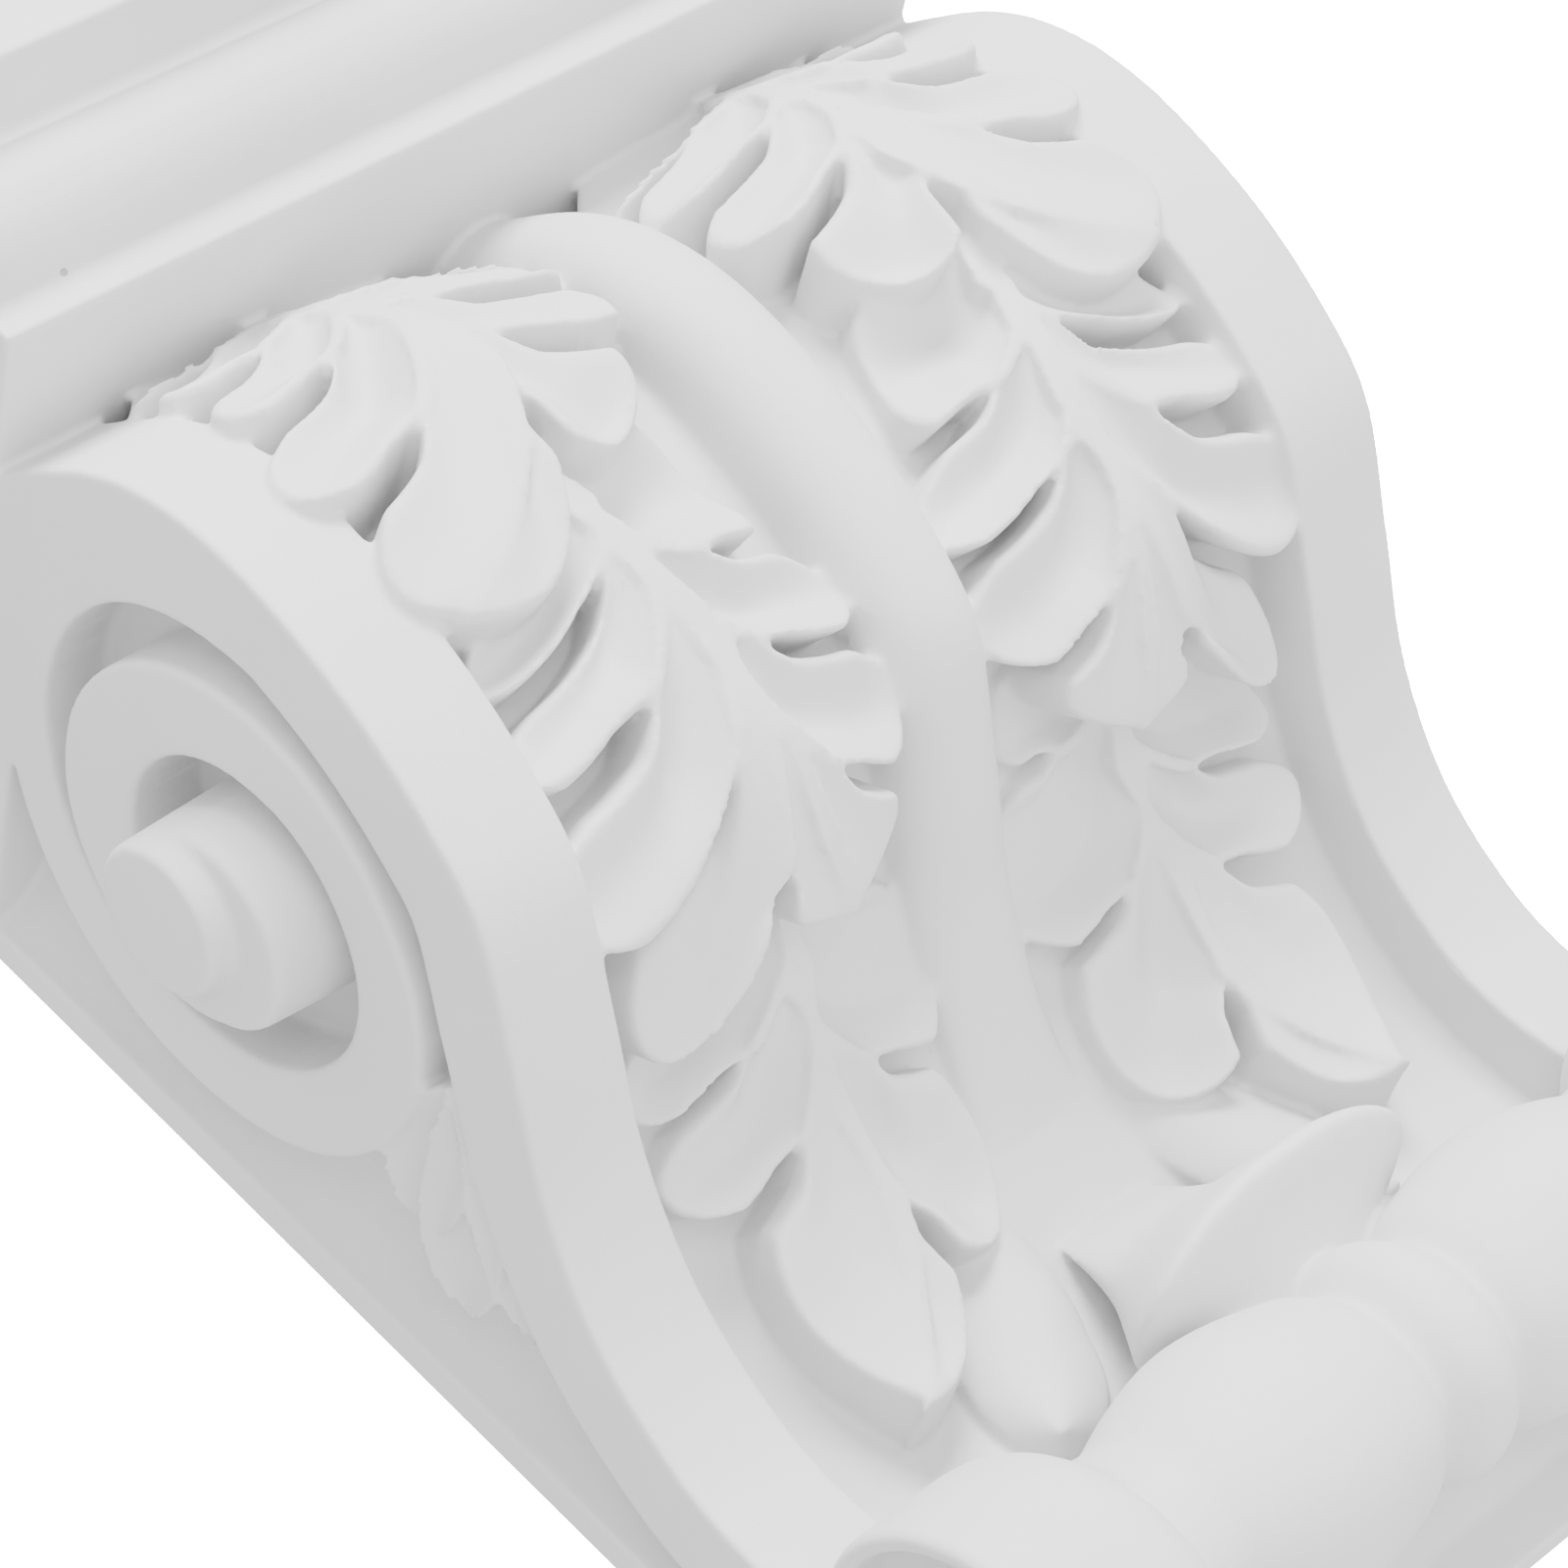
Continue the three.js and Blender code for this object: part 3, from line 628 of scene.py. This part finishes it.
def add_tongue():
    """A stack of superellipse fronts, each with a half width, a reach and a height. They narrow
    to the back by the pinch, and droop to the sides by a parabola of x."""
    rows = np.linspace(0, 1, 60)
    half, out, z = (smooth_knots(TONGUE[:, k], rows)[:, None] for k in range(3))
    a = np.linspace(0, math.pi, 40)
    forward = np.sin(a)**(2 / TONGUE_POWER)
    sideways = np.sign(np.cos(a)) * np.abs(np.cos(a))**(2 / TONGUE_POWER)
    x = half * sideways * (1 - TONGUE_PINCH * (1 - forward)**2)
    y = TONGUE_BACK - out * forward
    add_shell(np.stack([x, y, z - TONGUE_DROOP * (x / TONGUE_WIDEST)**2], -1))


def add_foot_lobe(side):
    """A lobe in a channel beside the tongue, with a ridge along it. Its sheet eases from a low
    to a high place, each an s and a height."""
    (s0, h0), (s1, h1) = FOOT_LOBE_LOW, FOOT_LOBE_HIGH

    def place(x, s, h):
        return on_front(side * x, s, h)

    def level(x, s):
        return mix(h0, h1, ease((s - s0) / (s1 - s0)))

    foot = -CHANNEL_DEPTH - 2 * SINK
    add_lobe(place, level, FOOT_LOBE_ROOT, FOOT_LOBE_TIP, FOOT_LOBE_HALF, -FOOT_LOBE_RIDGE, foot)


add_tongue()
for side in (-1, 1):
    add_foot_lobe(side)

# The casting: all shells fused into one skin of white plaster, with the soft inner corners and
# worn arrises that a cast from a rubber mould has.
MM = 0.001
VOXEL = 0.65
SOFTEN_SHARE = 0.5
SOFTEN_TIMES = 3
MOST_TRIANGLES = 190000
PLASTER_TONE = (0.60, 0.66)
PLASTER_ROUGHNESS = 0.7
MOTTLE_SCALE = 18
MOTTLE_SPAN = (0.3, 0.7)
UNEVEN_SCALE = 70
UNEVEN = 0.25
GRAIN_SCALE = 900
GRAIN = 0.06
PINHOLE_CELLS = 45
PINHOLE_SIZE = 0.035
PINHOLE_RARE = 0.62
PINHOLE_SWITCH = 0.02
# How far a pinhole's colour is darkened: painted shade inside the pit, on top of its real bumped hollow.
PINHOLE_PAINTED_SHADE = 0.6
PINHOLE_DEPTH = 0.6


def fused(name):
    """Fuses the shells into one closed mesh on a voxel grid, evens its points by averaging
    neighbours, and thins its triangles to the limit."""
    points = np.vstack([p for p, _ in shells]) * MM
    offset = np.cumsum([0] + [len(p) for p, _ in shells])
    faces = [[v + int(o) for v in face] for (_, group), o in zip(shells, offset) for face in group]
    raw = bpy.data.meshes.new(name)
    raw.from_pydata(points.tolist(), [], faces)
    piece = bpy.data.objects.new(name, raw)
    bpy.context.scene.collection.objects.link(piece)
    fuse = piece.modifiers.new("fuse", "REMESH")
    fuse.mode = "VOXEL"
    fuse.voxel_size = VOXEL * MM
    soften = piece.modifiers.new("soften", "SMOOTH")
    soften.factor = SOFTEN_SHARE
    soften.iterations = SOFTEN_TIMES
    depsgraph = bpy.context.evaluated_depsgraph_get()
    full = piece.evaluated_get(depsgraph).data
    full.calc_loop_triangles()
    thin = piece.modifiers.new("thin", "DECIMATE")
    thin.ratio = min(1.0, MOST_TRIANGLES / len(full.loop_triangles))
    depsgraph = bpy.context.evaluated_depsgraph_get()
    done = bpy.data.meshes.new_from_object(piece.evaluated_get(depsgraph))
    piece.modifiers.clear()
    piece.data = done
    done.shade_smooth()
    return piece


def plaster():
    """White cast plaster: faint mottling, a fine grain, soft trowelled unevenness and a few
    pinholes from air bubbles, all from noise on object coordinates. A pinhole is the middle of a
    Voronoi cell, in the few cells whose random colour is high. Each pinhole is a bumped pit, and
    its colour is darkened as painted shade inside the pit."""
    material = bpy.data.materials.new("plaster")
    material.use_nodes = True
    nodes = material.node_tree.nodes
    links = material.node_tree.links
    shader = nodes["Principled BSDF"]
    where = nodes.new("ShaderNodeTexCoord")

    def noise(scale, detail):
        node = nodes.new("ShaderNodeTexNoise")
        node.inputs["Scale"].default_value = scale
        node.inputs["Detail"].default_value = detail
        links.new(where.outputs["Object"], node.inputs["Vector"])
        return node.outputs["Fac"]

    def ramp(value, low, high, first, second):
        node = nodes.new("ShaderNodeMapRange")
        for socket, number in zip(node.inputs[1:5], (low, high, first, second)):
            socket.default_value = number
        links.new(value, node.inputs["Value"])
        return node.outputs["Result"]

    def product(a, b):
        node = nodes.new("ShaderNodeMath")
        node.operation = "MULTIPLY"
        links.new(a, node.inputs[0])
        links.new(b, node.inputs[1])
        return node.outputs["Value"]

    cells = nodes.new("ShaderNodeTexVoronoi")
    cells.inputs["Scale"].default_value = PINHOLE_CELLS
    links.new(where.outputs["Object"], cells.inputs["Vector"])
    hole = ramp(cells.outputs["Distance"], PINHOLE_SIZE, PINHOLE_SIZE / 2, 0, 1)
    chosen = ramp(cells.outputs["Color"], PINHOLE_RARE, PINHOLE_RARE + PINHOLE_SWITCH, 0, 1)
    pinhole = product(hole, chosen)
    mottle = ramp(noise(MOTTLE_SCALE, 4), *MOTTLE_SPAN, *PLASTER_TONE)
    # The mottle is the plaster's own random tone. The darkening in each pinhole is painted shade inside the
    # pit.
    tone = product(mottle, ramp(pinhole, 0, 1, 1, PINHOLE_PAINTED_SHADE))
    links.new(tone, shader.inputs["Base Color"])
    heights = (
        (noise(UNEVEN_SCALE, 2), UNEVEN),
        (noise(GRAIN_SCALE, 3), GRAIN),
        (ramp(pinhole, 0, 1, 1, 0), PINHOLE_DEPTH),
    )
    normal = None
    for height, depth in heights:
        bump = nodes.new("ShaderNodeBump")
        bump.inputs["Distance"].default_value = depth * MM
        links.new(height, bump.inputs["Height"])
        if normal:
            links.new(normal, bump.inputs["Normal"])
        normal = bump.outputs["Normal"]
    links.new(normal, shader.inputs["Normal"])
    shader.inputs["Roughness"].default_value = PLASTER_ROUGHNESS
    return material


casting = fused("casting")
casting.data.materials.append(plaster())
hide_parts("corbel")
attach(casting, "root")

# Studio: a pale floor well below the corbel, broad soft light, and the camera of the
# photograph, low on the left and looking up at the front.
FLOOR_HALF = 6.0
FLOOR_Z = -0.7
FLOOR_TONE = (0.82, 0.82, 0.82, 1)
FLOOR_ROUGHNESS = 0.9
ROOM_LIGHT = 1.7
BACKDROP_LIGHT = 60
CAMERA_PLACE = (-0.4394, -0.5990, -0.2864)
CAMERA_HEADING = 38.2868
CAMERA_PITCH = 23.0440
CAMERA_ROLL = -48.4726
CAMERA_LENS = 120.138
CAMERA_SENSOR = 36
CAMERA_NEAR = 0.01

floor_mesh = bpy.data.meshes.new("floor")
floor_corners = [(x * FLOOR_HALF, y * FLOOR_HALF, FLOOR_Z) for x, y in ((-1, -1), (1, -1), (1, 1), (-1, 1))]
floor_mesh.from_pydata(floor_corners, [], [(0, 1, 2, 3)])
floor = bpy.data.objects.new("floor", floor_mesh)
bpy.context.scene.collection.objects.link(floor)
floor_paint = bpy.data.materials.new("floor_paint")
floor_paint.use_nodes = True
floor_shader = floor_paint.node_tree.nodes["Principled BSDF"]
floor_shader.inputs["Base Color"].default_value = FLOOR_TONE
floor_shader.inputs["Roughness"].default_value = FLOOR_ROUGHNESS
floor_mesh.materials.append(floor_paint)

world = bpy.data.worlds.new("studio")
world.use_nodes = True
world_nodes = world.node_tree.nodes
world_links = world.node_tree.links
room = world_nodes["Background"]
room.inputs["Color"].default_value = (1, 1, 1, 1)
room.inputs["Strength"].default_value = ROOM_LIGHT
backdrop = world_nodes.new("ShaderNodeBackground")
backdrop.inputs["Strength"].default_value = BACKDROP_LIGHT
seen = world_nodes.new("ShaderNodeLightPath")
choose = world_nodes.new("ShaderNodeMixShader")
world_links.new(seen.outputs["Is Camera Ray"], choose.inputs["Fac"])
world_links.new(room.outputs["Background"], choose.inputs[1])
world_links.new(backdrop.outputs["Background"], choose.inputs[2])
world_links.new(choose.outputs["Shader"], world_nodes["World Output"].inputs["Surface"])
bpy.context.scene.world = world


def add_light(name, place, size, power):
    """A square area light of the given side that faces the corbel."""
    lamp = bpy.data.lights.new(name, "AREA")
    lamp.size = size
    lamp.energy = power
    holder = bpy.data.objects.new(name, lamp)
    holder.location = place
    holder.rotation_euler = (-Vector(place)).to_track_quat("-Z", "Y").to_euler()
    bpy.context.scene.collection.objects.link(holder)


add_light("key", (0.3, -1.8, 1.0), size=0.9, power=105)
add_light("fill", (-0.5, -1.9, -0.8), size=1.2, power=38)

camera_data = bpy.data.cameras.new("camera")
camera_data.sensor_width = CAMERA_SENSOR
camera_data.lens = CAMERA_LENS
camera_data.clip_start = CAMERA_NEAR
camera = bpy.data.objects.new("camera", camera_data)
heading = Matrix.Rotation(math.radians(-CAMERA_HEADING), 4, "Z")
pitch = Matrix.Rotation(math.radians(90 + CAMERA_PITCH), 4, "X")
roll = Matrix.Rotation(math.radians(CAMERA_ROLL), 4, "Z")
camera.matrix_world = Matrix.Translation(CAMERA_PLACE) @ heading @ pitch @ roll
bpy.context.scene.collection.objects.link(camera)
bpy.context.scene.camera = camera
